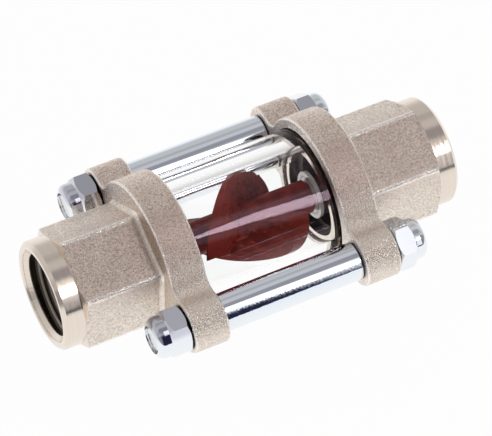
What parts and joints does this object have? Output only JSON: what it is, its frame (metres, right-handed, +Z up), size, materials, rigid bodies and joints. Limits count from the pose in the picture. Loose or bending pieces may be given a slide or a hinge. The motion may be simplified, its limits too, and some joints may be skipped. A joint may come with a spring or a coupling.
{
  "type": "impeller flow indicator",
  "caption": "In-line flow indicator: a glass tube clamped between threaded hexagon fittings by tie studs and sleeves, with a twisted impeller that spins as liquid flows.",
  "frame": {"origin": "centre of the bounding box, on the pipe's axis midway between the fittings", "axes": "+X along the pipe from the inlet to the outlet, +Y from the front tie stud to the back one, +Z up"},
  "size_m": [0.123, 0.0712, 0.0462],
  "materials": {
    "nickel_casting": "nickel-plated casting, blasted, with turned collars",
    "bright_steel": "bright zinc-plated steel",
    "stud_steel": "plain steel",
    "axle_steel": "ground steel",
    "clear_glass": "polished",
    "black_rubber": "smooth",
    "pale_plastic": "moulded",
    "dark_plastic": "moulded",
    "nylon": "moulded",
    "red_plastic": "dark red, see-through, moulded"
  },
  "bodies": {
    "housing": {"inlet_fitting": "nickel_casting", "inlet_gasket": "black_rubber", "inlet_bearing_spider": "dark_plastic", "inlet_bearing_bush": "pale_plastic", "inlet_front_lock_nut": "bright_steel", "inlet_front_nut_insert": "nylon", "inlet_back_lock_nut": "bright_steel", "inlet_back_nut_insert": "nylon", "outlet_fitting": "nickel_casting", "outlet_gasket": "black_rubber", "outlet_bearing_spider": "dark_plastic", "outlet_bearing_bush": "pale_plastic", "outlet_front_lock_nut": "bright_steel", "outlet_front_nut_insert": "nylon", "outlet_back_lock_nut": "bright_steel", "outlet_back_nut_insert": "nylon", "front_spacer_sleeve": "bright_steel", "front_tie_stud": "stud_steel", "back_spacer_sleeve": "bright_steel", "back_tie_stud": "stud_steel", "glass_tube": "clear_glass"},
    "rotor": {"impeller": "red_plastic", "impeller_axle": "axle_steel"}
  },
  "joints": [
    {"name": "impeller_spin", "type": "hinge", "parent": "housing", "child": "rotor", "pos_m": [0, 0, 0], "axis": [1, 0, 0], "continuous": true}
  ]
}
